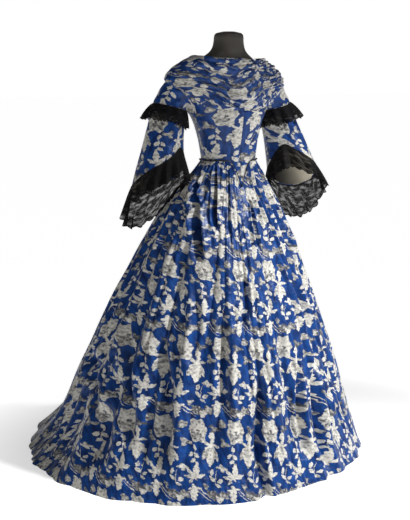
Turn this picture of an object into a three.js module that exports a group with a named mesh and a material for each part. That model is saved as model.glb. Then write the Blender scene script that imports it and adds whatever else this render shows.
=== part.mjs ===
// A mid nineteenth century day dress on a limbless dress form: a pointed bodice with a pleated swag
// over the bust, pagoda sleeves with lace ruffles and cuffs, and a full trained skirt.
// Millimetres, +Z up. The front faces -Y and the wearer's left side is +X. The origin is on the
// floor, at the centre of the stand's foot. Angles named "around" are in degrees from the front
// centre, 90 at the wearer's left and 180 at the back.
import * as THREE from "three";

// ---- Driving dimensions ----
const SILK = 1.6; // silk with its interlining
const LINING = 1.0;
const LACE = 1.0;
const SEAM = 0.3; // the gap between neighbouring pieces
const AIR = 0.5; // the gap between layers that lie on each other
const WAIST_Z = 1028;
const NECKLINE = 420; // measured up the body from the waist
const SIDE_DROP = 3; // the waist seam lies this far below the waist at the sides and back
const POINT_DROP = 86; // how much further the bodice's front point reaches down
const POINT_SPREAD = 36; // degrees from the front centre over which the waist seam drops
const POINT_ROUNDING = 5; // degrees

// ---- Colours ----
const finish = (color, roughness = 0.6) => new THREE.MeshStandardMaterial({ color, roughness, metalness: 0 });
const BLUE_SILK = finish(0x24479a, 0.45);
const BLACK_LACE = finish(0x17161a, 0.85);
const CREAM_LINING = finish(0xd9d0ba, 0.7);
const FORM_COVER = finish(0x57524b, 0.75);
const STAND_METAL = finish(0x3a3a3c, 0.5);

// ---- Tables ----
// Sections of the bodice, up the body from the waist. dip is how much lower the front lies, and fall
// how much lower the wearer's left shoulder.
const TORSO = [
  { up: 0, z: 0, wide: 98, deep: 80, back: 0, dip: 0, fall: 0 },
  { up: 60, z: 60, wide: 106, deep: 90, back: 3, dip: 0, fall: 0 },
  { up: 120, z: 119, wide: 121, deep: 104, back: 6, dip: 0, fall: 0 },
  { up: 152, z: 149, wide: 134, deep: 111, back: 9, dip: 0, fall: 0 },
  { up: 182, z: 175, wide: 152, deep: 111, back: 12, dip: 0, fall: 0 },
  { up: 218, z: 202, wide: 181, deep: 107, back: 17, dip: 0, fall: 0 },
  { up: 254, z: 228, wide: 210, deep: 100, back: 23, dip: 0, fall: 0 },
  { up: 284, z: 250, wide: 224, deep: 94, back: 28, dip: 0, fall: 0 },
  { up: 308, z: 272, wide: 222, deep: 88, back: 31, dip: 0, fall: 2 },
  { up: 333, z: 294, wide: 207, deep: 83, back: 31, dip: 1, fall: 5 },
  { up: 358, z: 313, wide: 184, deep: 79, back: 27, dip: 3, fall: 8 },
  { up: 384, z: 331, wide: 156, deep: 76, back: 20, dip: 5, fall: 11 },
  { up: 420, z: 348, wide: 120, deep: 74, back: 10, dip: 8, fall: 14 },
];
// How far the skirt reaches from the stand in each direction: the bell, and what trails on the floor.
const HEM = [
  { around: 0, reach: 486, trail: 4 },
  { around: 30, reach: 460, trail: 6 },
  { around: 60, reach: 476, trail: -4 },
  { around: 90, reach: 534, trail: -8 },
  { around: 120, reach: 585, trail: 30 },
  { around: 150, reach: 645, trail: 65 },
  { around: 180, reach: 690, trail: 95 },
  { around: 210, reach: 685, trail: 85 },
  { around: 240, reach: 656, trail: 50 },
  { around: 270, reach: 646, trail: 32 },
  { around: 300, reach: 618, trail: 24 },
  { around: 330, reach: 568, trail: 10 },
];
// The skirt's spread at each height, as a share of the way from the waist to the hem.
const SPREAD = [
  { z: 0, share: 1 },
  { z: 50, share: 0.945 },
  { z: 110, share: 0.88 },
  { z: 196, share: 0.805 },
  { z: 280, share: 0.742 },
  { z: 370, share: 0.668 },
  { z: 450, share: 0.605 },
  { z: 540, share: 0.527 },
  { z: 630, share: 0.445 },
  { z: 720, share: 0.368 },
  { z: 790, share: 0.3 },
  { z: 840, share: 0.25 },
  { z: 908, share: 0.168 },
  { z: 945, share: 0.113 },
  { z: 970, share: 0.075 },
  { z: 1000, share: 0.03 },
  { z: 1028, share: 0 },
];
const TRAIL_TOP = 200; // the hem starts to trail at this height
// The skirt falls flatter over the stomach: how much, and where that is greatest and ends.
const STOMACH = { flat: 38, full: 930, ends: 450 };
// The skirt's folds: where each ridge runs at the hem, its half width and height there, and where
// it starts below the waist. lean is how far round the ridge stands at the waist from its place at
// the hem.
const FOLDS = [
  { around: 11, half: 7, high: 16, start: 180, lean: 0 },
  { around: 27, half: 7, high: 16, start: 120, lean: 3 },
  { around: 44, half: 8, high: 20, start: 60, lean: -4 },
  { around: 62, half: 9, high: 24, start: 30, lean: -3 },
  { around: 82, half: 9, high: 26, start: 20, lean: 0 },
  { around: 101, half: 9, high: 24, start: 10, lean: 3 },
  { around: 120, half: 9, high: 28, start: 0, lean: 5 },
  { around: 138, half: 9, high: 30, start: 0, lean: 6 },
  { around: 155, half: 8, high: 32, start: 0, lean: 4 },
  { around: 171, half: 8, high: 34, start: 0, lean: 2 },
  { around: 187, half: 8, high: 34, start: 0, lean: -2 },
  { around: 204, half: 8, high: 32, start: 0, lean: -4 },
  { around: 222, half: 9, high: 30, start: 0, lean: -6 },
  { around: 240, half: 9, high: 30, start: 10, lean: -5 },
  { around: 258, half: 8, high: 28, start: 20, lean: -3 },
  { around: 275, half: 8, high: 28, start: 10, lean: -3 },
  { around: 294, half: 8, high: 28, start: 20, lean: -6 },
  { around: 314, half: 8, high: 24, start: 40, lean: -6 },
  { around: 333, half: 8, high: 20, start: 100, lean: -3 },
  { around: 353, half: 8, high: 20, start: 140, lean: 0 },
];
const FOLD_FULL = 560; // a fold has its full height this far below its start
const FOLD_SINK = 13; // the troughs lie this far inside the mean bell
// The small gathers under the waist seam, which die out down the skirt.
const GATHERS = { count: 60, high: 2.2, peak: 60, gone: 300, from: 50, to: 310 };
// The sleeve's centre line and half widths, for the wearer's left arm. Rings stand square to it.
const SLEEVE = [
  { station: 0, out: 188, back: 41, z: 1250, wide: 56, deep: 54 },
  { station: 1, out: 206, back: 38, z: 1206, wide: 58, deep: 57 },
  { station: 2, out: 230, back: 26, z: 1119, wide: 65, deep: 64 },
  { station: 3, out: 246, back: 12, z: 1048, wide: 75, deep: 73 },
  { station: 4, out: 260, back: 0, z: 984, wide: 85, deep: 84 },
  { station: 5, out: 274, back: -12, z: 917, wide: 94, deep: 92 },
  { station: 6, out: 288, back: -24, z: 840, wide: 101, deep: 99 },
  { station: 7, out: 300, back: -34, z: 770, wide: 107, deep: 105 },
];
const SLEEVE_LEAN = 15; // degrees that the sleeve stands out from the vertical
// Where the lower sleeve ends and how long its lace is, in stations. round is in degrees: 0 next to
// the body, 90 in front.
const SLEEVE_HEM = [
  { round: 0, ends: 3.4, lace: 1.0 },
  { round: 30, ends: 2.8, lace: 1.05 },
  { round: 60, ends: 2.55, lace: 1.15 },
  { round: 90, ends: 3.0, lace: 1.15 },
  { round: 120, ends: 3.6, lace: 1.15 },
  { round: 150, ends: 4.15, lace: 1.15 },
  { round: 180, ends: 4.65, lace: 1.05 },
  { round: 210, ends: 5.05, lace: 1.35 },
  { round: 240, ends: 5.15, lace: 1.65 },
  { round: 270, ends: 4.95, lace: 1.6 },
  { round: 300, ends: 4.5, lace: 1.3 },
  { round: 330, ends: 3.95, lace: 1.0 },
];
const ARMHOLE = { middle: 219, tall: 72, wide: 15, seam: 4 }; // up the body, mm, degrees, mm
const RUFFLE = { top: 1.02, long: 0.62, flare: 20, wave: 5.5, waves: 12 };
const CUFF_LACE = { over: 0.06, flare: 6, wave: 6, waves: 14, scallop: 0.07, clear: 6 };
const SWAG = { pleats: 6, high: 6.5, middle: 172, side: 200, under: 68, reach: 100 };
const STAND = { foot: 165, footThick: 10, pole: 16, collar: 30, collarTall: 26 };

// ---- Interpolation ----
const rad = THREE.MathUtils.degToRad;
const clamp01 = (t) => Math.min(1, Math.max(0, t));
const ease = (t) => clamp01(t) ** 2 * (3 - 2 * clamp01(t));
const mix = THREE.MathUtils.lerp;

// A smooth curve through the rows of a table, read at one key.
function hermite(before, low, high, after, key, column, at) {
  const span = high[key] - low[key];
  const slopeLow = (high[column] - before[column]) / (high[key] - before[key] || 1);
  const slopeHigh = (after[column] - low[column]) / (after[key] - low[key] || 1);
  const t = clamp01((at - low[key]) / span);
  const t2 = t * t;
  const t3 = t2 * t;
  return (
    (2 * t3 - 3 * t2 + 1) * low[column] +
    (t3 - 2 * t2 + t) * span * slopeLow +
    (3 * t2 - 2 * t3) * high[column] +
    (t3 - t2) * span * slopeHigh
  );
}

function read(table, key, at, column) {
  const last = table.length - 1;
  let i = 0;
  while (i < last - 1 && at > table[i + 1][key]) i += 1;
  const before = table[Math.max(i - 1, 0)];
  const after = table[Math.min(i + 2, last)];
  return hermite(before, table[i], table[i + 1], after, key, column, at);
}

// The same for a table that goes once round a circle in degrees.
function readRound(table, key, angle, column) {
  const at = ((angle % 360) + 360) % 360;
  const count = table.length;
  let i = 0;
  while (i < count - 1 && at >= table[i + 1][key]) i += 1;
  const row = (n) => {
    const turned = Math.floor(n / count);
    const found = table[n - turned * count];
    return { ...found, [key]: found[key] + 360 * turned };
  };
  return hermite(row(i - 1), row(i), row(i + 1), row(i + 2), key, column, at);
}

// ---- The body's surface: bodice above the waist and the smooth bell of the skirt below it ----
const heading = (around) => new THREE.Vector2(Math.sin(rad(around)), -Math.cos(rad(around)));

function ovalRadius(around, wide, deep) {
  const to = heading(around);
  return (wide * deep) / Math.hypot(deep * to.x, wide * to.y);
}

function bodice(around, up) {
  const column = (name) => read(TORSO, "up", up, name);
  const to = heading(around);
  const radius = ovalRadius(around, column("wide"), column("deep"));
  const lower = column("dip") * Math.max(0, Math.cos(rad(around))) + column("fall") * Math.max(0, to.x) ** 2;
  return new THREE.Vector3(to.x * radius, column("back") + to.y * radius, WAIST_Z + column("z") - lower);
}

function bellRadius(around, z) {
  const waist = ovalRadius(around, TORSO[0].wide, TORSO[0].deep);
  const trailing = readRound(HEM, "around", around, "trail") * clamp01(1 - z / TRAIL_TOP) ** 2;
  const { flat, full, ends } = STOMACH;
  const inFront = Math.max(0, Math.cos(rad(around))) ** 2;
  const grows = ease((WAIST_Z - z) / (WAIST_Z - full));
  const flatter = flat * inFront * grows * (1 - ease((full - z) / (full - ends)));
  const spread = mix(waist, readRound(HEM, "around", around, "reach"), read(SPREAD, "z", z, "share"));
  return spread + trailing - flatter;
}

function bell(around, z, fold = 0) {
  const to = heading(around);
  const radius = bellRadius(around, z) + fold;
  return new THREE.Vector3(to.x * radius, to.y * radius, z);
}

const body = (around, up) => (up >= 0 ? bodice(around, up) : bell(around, WAIST_Z + up));

function bodyNormal(around, up) {
  const along = body(around + 0.5, up).sub(body(around - 0.5, up));
  const rise = body(around, Math.min(up + 1, NECKLINE)).sub(body(around, Math.min(up, NECKLINE - 1) - 1));
  return along.cross(rise).normalize();
}

// ---- The waist seam, which drops to the bodice's point ----
const SEAM_STEP = 9; // degrees between the bodice's columns
function pointDrop(around) {
  const away = Math.hypot(around, POINT_ROUNDING) - POINT_ROUNDING;
  return SIDE_DROP + POINT_DROP * clamp01(1 - away / POINT_SPREAD) ** 3.5;
}

// Straight between the bodice's columns, so that the skirt's finer columns meet the same edge.
function waistSeam(around) {
  const at = ((around + 540) % 360) - 180;
  const low = Math.floor(at / SEAM_STEP) * SEAM_STEP;
  return -mix(pointDrop(low), pointDrop(low + SEAM_STEP), (at - low) / SEAM_STEP);
}

// The skirt's top edge, a seam below the bodice: further where the waist seam runs steeply.
function skirtTop(around) {
  const [before, here, after] = [-SEAM_STEP, 0, SEAM_STEP].map((step) => waistSeam(around + step));
  const steep = (Math.abs(here - before) + Math.abs(after - here)) / (2 * rad(SEAM_STEP) * TORSO[0].deep);
  return WAIST_Z + here - SEAM * Math.hypot(1, steep) * (1 + 0.5 * steep);
}

// ---- Walls of cloth ----
// The outward normal of a surface, from its neighbouring points.
function normalOf(surface, u, v, turned) {
  const step = 1e-3;
  const along = surface(Math.min(u + step, 1), v).sub(surface(Math.max(u - step, 0), v));
  const up = surface(u, Math.min(v + step, 1)).sub(surface(u, Math.max(v - step, 0)));
  return along.cross(up).multiplyScalar(turned ? -1 : 1).normalize();
}

function solid(name, material, positions, faces) {
  const geometry = new THREE.BufferGeometry();
  geometry.setAttribute("position", new THREE.Float32BufferAttribute(positions, 3));
  geometry.setIndex(faces);
  geometry.computeVertexNormals();
  const mesh = new THREE.Mesh(geometry, material);
  mesh.name = name;
  return mesh;
}

// A wall of even thickness behind surface(u, v). It is closed into a tube if ring is true. turned
// is for a surface whose u runs clockwise as seen from outside. floor keeps both faces on z = 0.
function wall({ name, material, surface, columns, rows, thick, ring = false, turned = false, floor = false }) {
  const across = ring ? columns : columns + 1;
  const points = [];
  for (const inner of [0, 1]) {
    for (let j = 0; j <= rows; j += 1) {
      for (let i = 0; i < across; i += 1) {
        const [u, v] = [i / columns, j / rows];
        const point = surface(u, v);
        if (inner) point.addScaledVector(normalOf(surface, u, v, turned), -thick);
        if (floor && (j === 0 || point.z < 0)) point.z = 0;
        points.push(point.x, point.y, point.z);
      }
    }
  }
  const at = (i, j, inner) => inner * (rows + 1) * across + j * across + (ring ? i % across : i);
  const faces = [];
  const quad = (a, b, c, d) => (turned ? faces.push(a, c, b, a, d, c) : faces.push(a, b, c, a, c, d));
  for (let j = 0; j < rows; j += 1) {
    for (let i = 0; i < columns; i += 1) {
      quad(at(i, j, 0), at(i + 1, j, 0), at(i + 1, j + 1, 0), at(i, j + 1, 0));
      quad(at(i, j, 1), at(i, j + 1, 1), at(i + 1, j + 1, 1), at(i + 1, j, 1));
    }
    if (!ring) {
      quad(at(0, j, 0), at(0, j + 1, 0), at(0, j + 1, 1), at(0, j, 1));
      quad(at(columns, j, 0), at(columns, j, 1), at(columns, j + 1, 1), at(columns, j + 1, 0));
    }
  }
  for (let i = 0; i < columns; i += 1) {
    quad(at(i, 0, 0), at(i, 0, 1), at(i + 1, 0, 1), at(i + 1, 0, 0));
    quad(at(i, rows, 0), at(i + 1, rows, 0), at(i + 1, rows, 1), at(i, rows, 1));
  }
  return solid(name, material, points, faces);
}

// A closed body through rings of points, with flat ends.
function loft(name, material, rings) {
  const count = rings[0].length;
  const points = rings.flat().flatMap((p) => [p.x, p.y, p.z]);
  const faces = [];
  for (let j = 0; j < rings.length - 1; j += 1) {
    for (let i = 0; i < count; i += 1) {
      const [a, b] = [j * count + i, j * count + ((i + 1) % count)];
      faces.push(a, b, b + count, a, b + count, a + count);
    }
  }
  for (const [end, last] of [[0, false], [rings.length - 1, true]]) {
    const middle = new THREE.Vector3();
    rings[end].forEach((p) => middle.addScaledVector(p, 1 / count));
    const centre = points.push(middle.x, middle.y, middle.z) / 3 - 1;
    for (let i = 0; i < count; i += 1) {
      const [a, b] = [end * count + i, end * count + ((i + 1) % count)];
      faces.push(centre, last ? a : b, last ? b : a);
    }
  }
  return solid(name, material, points, faces);
}

// ---- Skirt: six widths of silk, gathered to the waist ----
const SKIRT_WIDTHS = [
  ["skirt_front", -30, 30],
  ["skirt_left_front", 30, 90],
  ["skirt_left_back", 90, 150],
  ["skirt_back", 150, 210],
  ["skirt_right_back", 210, 270],
  ["skirt_right_front", 270, 330],
];
const SKIRT_COLUMNS = 20;
const SKIRT_ROWS = 9;
const ROW_CROWDING = 1.35; // above 1, the rows stand closer together under the waist

function foldHeight(around, below) {
  let height = -FOLD_SINK * ease(below / FOLD_FULL);
  for (const fold of FOLDS) {
    const grown = ease((below - fold.start) / FOLD_FULL);
    const place = fold.around + fold.lean * (1 - below / WAIST_Z);
    const away = ((around - place + 540) % 360) - 180;
    height += fold.high * grown * Math.exp(-((away / (0.62 * fold.half)) ** 2));
  }
  const inGathers = ease((Math.abs(((around + 180) % 360) - 180) - GATHERS.from) / 20);
  const gathered = ease(below / GATHERS.peak) * (1 - ease((below - GATHERS.peak) / (GATHERS.gone - GATHERS.peak)));
  return height + GATHERS.high * gathered * inGathers * Math.cos(rad(around * GATHERS.count));
}

function skirtWidth([name, from, to]) {
  const surface = (u, v) => {
    const place = (around) => skirtTop(around) * (1 - (1 - v) ** ROW_CROWDING);
    const middle = mix(from, to, u);
    const gap = THREE.MathUtils.radToDeg(SEAM / 2 / bellRadius(middle, place(middle)));
    const around = mix(from + gap, to - gap, u);
    return bell(around, place(around), foldHeight(around, skirtTop(around) - place(around)));
  };
  return wall({ name, material: BLUE_SILK, surface, columns: SKIRT_COLUMNS, rows: SKIRT_ROWS, thick: SILK, floor: true });
}

// ---- Bodice: two fronts with a centre seam and a back, open at the neck and armholes ----
const BODICE_ROWS = 14;
const POINT_ROWS = 2 / BODICE_ROWS; // the share of the rows that lie below the waist
// The half width of the armhole in degrees at a height up the body.
function armholeHalf(up, larger = 0) {
  const t = (up - ARMHOLE.middle) / (ARMHOLE.tall + larger);
  return Math.abs(t) < 1 ? ARMHOLE.wide * Math.sqrt(1 - t * t) : 0;
}

function bodicePiece(name, from, to, columns) {
  const surface = (u, v) => {
    const seamAngle = mix(from, to, u);
    const bottom = waistSeam(seamAngle);
    const up = v < POINT_ROWS ? mix(bottom, 0, v / POINT_ROWS) : mix(0, NECKLINE, (v - POINT_ROWS) / (1 - POINT_ROWS));
    const gap = THREE.MathUtils.radToDeg(SEAM / 2 / 100);
    const start = from + gap + (Math.abs(from) === 90 ? armholeHalf(up) : 0);
    const end = to - gap - (to % 180 === 90 ? armholeHalf(up) : 0);
    return body(mix(start, end, u), up);
  };
  return wall({ name, material: BLUE_SILK, surface, columns, rows: BODICE_ROWS, thick: SILK });
}

// ---- Swag: pleated silk laid over the bust, drawn up to the wearer's left shoulder ----
function swag() {
  const surface = (u, v) => {
    const across = Math.sign(u - 0.5) * Math.abs(2 * u - 1) ** 0.75;
    const low = mix(SWAG.middle, SWAG.side, Math.abs(across) ** 2.5);
    const up = mix(low, NECKLINE - 2, v);
    const around = across * mix(SWAG.under, SWAG.reach, ease((up - 235) / 105));
    const [on, out] = [body(around, up), bodyNormal(around, up)];
    const gatheredEnd = 0.7 + 0.6 * ease((across - 0.1) / 0.9) - 0.35 * ease((-0.6 - across) / 0.4);
    const wave = 0.5 - 0.5 * Math.cos(2 * Math.PI * SWAG.pleats * v);
    const edges = ease(v / 0.05) * ease((1 - v) / 0.04);
    const shoulder = 6 * ease((Math.abs(across) - 0.5) / 0.3);
    return on.addScaledVector(
      out,
      LACE + AIR + 1.3 + shoulder + SWAG.high * wave * gatheredEnd * (0.35 + 0.65 * edges),
    );
  };
  return wall({ name: "bodice_swag", material: BLUE_SILK, surface, columns: 16, rows: SWAG.pleats * 4, thick: 1.2 });
}

// ---- Piping along the pointed waist seam ----
function waistPiping() {
  const radius = 1.4;
  const sides = 5;
  const surface = (u, v) => {
    const around = 360 * u;
    const edge = body(around, waistSeam(around));
    const to = heading(around);
    const outward = new THREE.Vector3(to.x, to.y, 0.35).normalize();
    const turn = 2 * Math.PI * v;
    return edge.addScaledVector(outward, radius + AIR + 1.3 + radius * Math.cos(turn)).add(
      new THREE.Vector3(0, 0, radius * Math.sin(turn)),
    );
  };
  const steps = 80;
  const points = [];
  const faces = [];
  for (let i = 0; i < steps; i += 1) {
    for (let k = 0; k < sides; k += 1) {
      const p = surface(i / steps, k / sides);
      points.push(p.x, p.y, p.z);
      const [a, b] = [i * sides + k, i * sides + ((k + 1) % sides)];
      const [c, d] = [((i + 1) % steps) * sides + k, ((i + 1) % steps) * sides + ((k + 1) % sides)];
      faces.push(a, c, d, a, d, b);
    }
  }
  return solid("waist_piping", BLACK_LACE, points, faces);
}

// ---- Sleeves ----
const column = (name) => (station) => read(SLEEVE, "station", station, name);
const [armOut, armBack, armZ, armWide, armDeep] = ["out", "back", "z", "wide", "deep"].map(column);

// A point of the sleeve for the wearer's left arm. round is 0 next to the body, 90 in front and 180
// on the outside. proud moves it off the sleeve's own surface.
function armPoint(round, station, proud = 0) {
  const [inward, forward] = [Math.cos(rad(round)), Math.sin(rad(round))];
  const out = -inward * (armWide(station) + proud);
  return new THREE.Vector3(
    armOut(station) + out * Math.cos(rad(SLEEVE_LEAN)),
    armBack(station) - forward * (armDeep(station) + proud),
    armZ(station) + out * Math.sin(rad(SLEEVE_LEAN)),
  );
}

// The armhole's edge on the bodice, moved out so that the sleeve stands on the bodice's surface.
function armholePoint(round, proud) {
  const up = ARMHOLE.middle - (ARMHOLE.tall + ARMHOLE.seam) * Math.cos(rad(round));
  const around = 90 - (ARMHOLE.wide + ARMHOLE.seam / 2) * Math.sin(rad(round));
  return body(around, up).addScaledVector(bodyNormal(around, up), proud);
}

const hemStation = (round) => readRound(SLEEVE_HEM, "round", round, "ends");

const upperSleeve = (proud) => (u, v) => {
  const round = -360 * u;
  const set = 1 - (1 - v) ** 2.2;
  const point = armholePoint(round, proud).lerp(armPoint(round, v), set);
  return clearOfBodice(point, mix(proud, SILK + AIR + 3, ease(v / 0.3)));
};
const UNDER_RUFFLE = 1.0036; // the lower sleeve starts a seam below the upper one
const sleeveFold = (round) => 3.5 * Math.cos(rad(3 * round + 40));
const lowerSleeve = (proud, from, short) => (u, v) => {
  const round = -360 * u;
  return armPoint(round, mix(from, hemStation(round) - short, v), proud + sleeveFold(round) * ease(v));
};
const elbowRuffle = (u, v) => {
  const round = -360 * u;
  const wave = RUFFLE.wave * Math.cos(RUFFLE.waves * rad(round)) * v;
  const free = 0.65 - 0.35 * Math.cos(rad(round)); // it flares less where it lies against the body
  const proud = LACE + AIR + 0.8 + RUFFLE.flare * free * v ** 0.8 + wave;
  return armPoint(round, RUFFLE.top + RUFFLE.long * v, proud);
};
const cuffLace = (u, v) => {
  const round = -360 * u;
  const turn = CUFF_LACE.waves * rad(round);
  const wave = CUFF_LACE.wave * Math.cos(turn) * v;
  const scallop = CUFF_LACE.scallop * Math.cos(2 * turn) * v;
  const long = readRound(SLEEVE_HEM, "round", round, "lace");
  const proud = LACE + AIR + 0.8 + sleeveFold(round) + CUFF_LACE.flare * v + wave;
  return clearOfSkirt(armPoint(round, hemStation(round) - CUFF_LACE.over + long * v + scallop, proud));
};

// The sleeve next to the body lies on the bodice's side.
function clearOfBodice(point, clear) {
  const column = (name) => read(TORSO, "z", point.z - WAIST_Z, name);
  const behind = point.y - column("back");
  const around = THREE.MathUtils.radToDeg(Math.atan2(point.x, -behind));
  const reach = Math.hypot(point.x, behind);
  const needed = ovalRadius(around, column("wide"), column("deep")) + clear;
  if (reach >= needed) return point;
  return new THREE.Vector3((point.x * needed) / reach, column("back") + (behind * needed) / reach, point.z);
}

// The lace next to the body lies on the skirt.
function clearOfSkirt(point) {
  const around = THREE.MathUtils.radToDeg(Math.atan2(point.x, -point.y));
  const reach = Math.hypot(point.x, point.y);
  const below = WAIST_Z - point.z;
  if (below < 0) return point;
  const skirt = Math.max(...[around, -around].map((a) => bellRadius(a, point.z) + foldHeight(a, below)));
  const needed = skirt + CUFF_LACE.clear;
  return reach < needed ? point.multiply(new THREE.Vector3(needed / reach, needed / reach, 1)) : point;
}

// setOff is how far the sleeve head stands off the bodice at its seam, clear of the bodice's facets.
function sleeveOf(side, sign, setOff) {
  const mirrored = (surface) => (u, v) => surface(u, v).multiply(new THREE.Vector3(sign, 1, 1));
  const tube = (part, material, surface, columns, rows, thick) =>
    wall({
      name: `${part}_${side}`,
      material,
      surface: mirrored(surface),
      columns,
      rows,
      thick,
      ring: true,
      turned: sign > 0,
    });
  return [
    tube("sleeve_upper", BLUE_SILK, upperSleeve(setOff), 24, 5, SILK),
    tube("sleeve_lower", BLUE_SILK, lowerSleeve(0, UNDER_RUFFLE, 0), 24, 6, SILK),
    tube("sleeve_lining", CREAM_LINING, lowerSleeve(-SILK - AIR - 0.4, 1.5, 0.04), 24, 4, LINING),
    tube("elbow_ruffle", BLACK_LACE, elbowRuffle, RUFFLE.waves * 4, 2, LACE),
    tube("cuff_lace", BLACK_LACE, cuffLace, CUFF_LACE.waves * 4, 2, LACE),
  ];
}

// ---- Dress form and its stand ----
// Sections of the form by height, a little inside the bodice.
const FORM = [
  { z: 838, wide: 128, deep: 92, back: 14 },
  { z: 850, wide: 140, deep: 104, back: 14 },
  { z: 890, wide: 142, deep: 106, back: 12 },
  { z: 935, wide: 128, deep: 93, back: 9 },
  { z: 975, wide: 110, deep: 84, back: 5 },
  { z: 1005, wide: 98, deep: 78, back: 2 },
  { z: 1028, wide: 95.5, deep: 77.5, back: 0 },
  { z: 1088, wide: 102.5, deep: 87, back: 3 },
  { z: 1147, wide: 116.5, deep: 101, back: 6 },
  { z: 1177, wide: 128, deep: 107.5, back: 9 },
  { z: 1203, wide: 134, deep: 108, back: 12 },
  { z: 1230, wide: 141, deep: 104, back: 17 },
  { z: 1256, wide: 150, deep: 97, back: 23 },
  { z: 1278, wide: 158, deep: 91, back: 28 },
  { z: 1300, wide: 162, deep: 85, back: 31 },
  { z: 1322, wide: 158, deep: 79.5, back: 31 },
  { z: 1341, wide: 138, deep: 74, back: 27 },
  { z: 1359, wide: 112, deep: 68, back: 20 },
  { z: 1374, wide: 88, deep: 62, back: 12 },
  { z: 1386, wide: 70, deep: 57, back: 7 },
  { z: 1398, wide: 59, deep: 55, back: 4 },
  { z: 1410, wide: 54, deep: 53, back: 2 },
  { z: 1425, wide: 51, deep: 52, back: 1 },
  { z: 1440, wide: 50, deep: 51, back: 0 },
  { z: 1449, wide: 47, deep: 48, back: 0 },
  { z: 1455, wide: 38, deep: 39, back: 0 },
  { z: 1458, wide: 20, deep: 21, back: 0 },
];
const FORM_SIDES = 26;

function dressForm() {
  const section = ({ z, wide, deep, back }) =>
    Array.from({ length: FORM_SIDES }, (_, i) => {
      const to = heading((360 * i) / FORM_SIDES);
      const radius = ovalRadius((360 * i) / FORM_SIDES, wide, deep);
      return new THREE.Vector3(to.x * radius, back + to.y * radius, z);
    });
  return loft("form_torso", FORM_COVER, FORM.map(section));
}

function turned(name, profile, z) {
  const geometry = new THREE.LatheGeometry(profile.map(([r, h]) => new THREE.Vector2(r, h)), 24);
  geometry.rotateX(Math.PI / 2);
  const mesh = new THREE.Mesh(geometry, STAND_METAL);
  mesh.name = name;
  mesh.position.z = z;
  return mesh;
}

function stand() {
  const { foot, footThick, pole, collar, collarTall } = STAND;
  const poleFoot = footThick + SEAM;
  const poleTop = FORM[0].z - SEAM;
  return [
    turned("stand_foot", [[0, 0], [foot, 0], [foot, footThick - 3], [foot - 6, footThick], [0, footThick]], 0),
    turned(
      "stand_pole",
      [
        [0, 0],
        [collar, 0],
        [collar, collarTall],
        [pole, collarTall + 10],
        [pole, poleTop - poleFoot - 8],
        [collar, poleTop - poleFoot],
        [0, poleTop - poleFoot],
      ],
      poleFoot,
    ),
  ];
}

// ---- The whole ----
const dress = new THREE.Group();
dress.add(
  ...stand(),
  dressForm(),
  ...SKIRT_WIDTHS.map(skirtWidth),
  bodicePiece("bodice_front_right", -90, 0, 10),
  bodicePiece("bodice_front_left", 0, 90, 10),
  bodicePiece("bodice_back", 90, 270, 20),
  swag(),
  waistPiping(),
  ...sleeveOf("right", -1, 2.4),
  ...sleeveOf("left", 1, 1.2),
);
export default dress;
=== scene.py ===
"""Blender scene of a mid nineteenth century day dress on a dress form, seen from its front right.

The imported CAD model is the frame. Each cloth node gets a shell of its own shape with the folds and
creases that the solid leaves out, and the form, the stand and the piping get their finish here.
Tables are in millimetres and degrees, as in the part's source; meshes and UVs are in metres.
Angles named "around" run from the front centre, 90 at the wearer's left and 180 at the back.
"""
import math

import bpy
import numpy as np
from mathutils import Euler, Matrix, Vector


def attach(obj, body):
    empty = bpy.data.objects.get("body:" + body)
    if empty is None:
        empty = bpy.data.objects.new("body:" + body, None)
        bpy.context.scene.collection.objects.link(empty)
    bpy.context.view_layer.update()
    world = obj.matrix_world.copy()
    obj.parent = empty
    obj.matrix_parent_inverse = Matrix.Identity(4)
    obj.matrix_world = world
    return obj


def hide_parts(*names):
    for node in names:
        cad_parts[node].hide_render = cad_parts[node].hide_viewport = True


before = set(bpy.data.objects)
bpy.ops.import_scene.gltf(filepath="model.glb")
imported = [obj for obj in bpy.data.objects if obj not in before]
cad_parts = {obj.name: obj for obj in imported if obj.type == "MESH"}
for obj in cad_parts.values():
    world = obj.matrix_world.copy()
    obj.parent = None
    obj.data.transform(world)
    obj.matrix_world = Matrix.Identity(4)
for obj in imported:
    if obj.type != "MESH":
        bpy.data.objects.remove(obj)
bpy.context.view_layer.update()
MM = 0.001


# ---- Tables that repeat the part's source ----
def table(columns, *rows):
    return dict(zip(columns.split(), np.array(rows, float).T))


WAIST_Z = 1028
NECKLINE = 420
SIDE_DROP = 3
POINT_DROP = 86
POINT_SPREAD = 36
POINT_ROUNDING = 5
POINT_SHARPNESS = 3.5
SEAM = 0.3
SILK = 1.6
LACE = 1.0
AIR = 0.5
TORSO = table(
    "up z wide deep back dip fall",
    (0, 0, 98, 80, 0, 0, 0), (60, 60, 106, 90, 3, 0, 0), (120, 119, 121, 104, 6, 0, 0),
    (152, 149, 134, 111, 9, 0, 0), (182, 175, 152, 111, 12, 0, 0), (218, 202, 181, 107, 17, 0, 0),
    (254, 228, 210, 100, 23, 0, 0), (284, 250, 224, 94, 28, 0, 0), (308, 272, 222, 88, 31, 0, 2),
    (333, 294, 207, 83, 31, 1, 5), (358, 313, 184, 79, 27, 3, 8), (384, 331, 156, 76, 20, 5, 11),
    (420, 348, 120, 74, 10, 8, 14),
)
HEM = table(
    "around reach trail",
    (0, 486, 4), (30, 460, 6), (60, 476, -4), (90, 534, -8), (120, 585, 30), (150, 645, 65),
    (180, 690, 95), (210, 685, 85), (240, 656, 50), (270, 646, 32), (300, 618, 24), (330, 568, 10),
)
SPREAD = table(
    "z share",
    (0, 1), (50, 0.945), (110, 0.88), (196, 0.805), (280, 0.742), (370, 0.668), (450, 0.605),
    (540, 0.527), (630, 0.445), (720, 0.368), (790, 0.3), (840, 0.25), (908, 0.168), (945, 0.113),
    (970, 0.075), (1000, 0.03), (1028, 0),
)
TRAIL_TOP = 200
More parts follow.
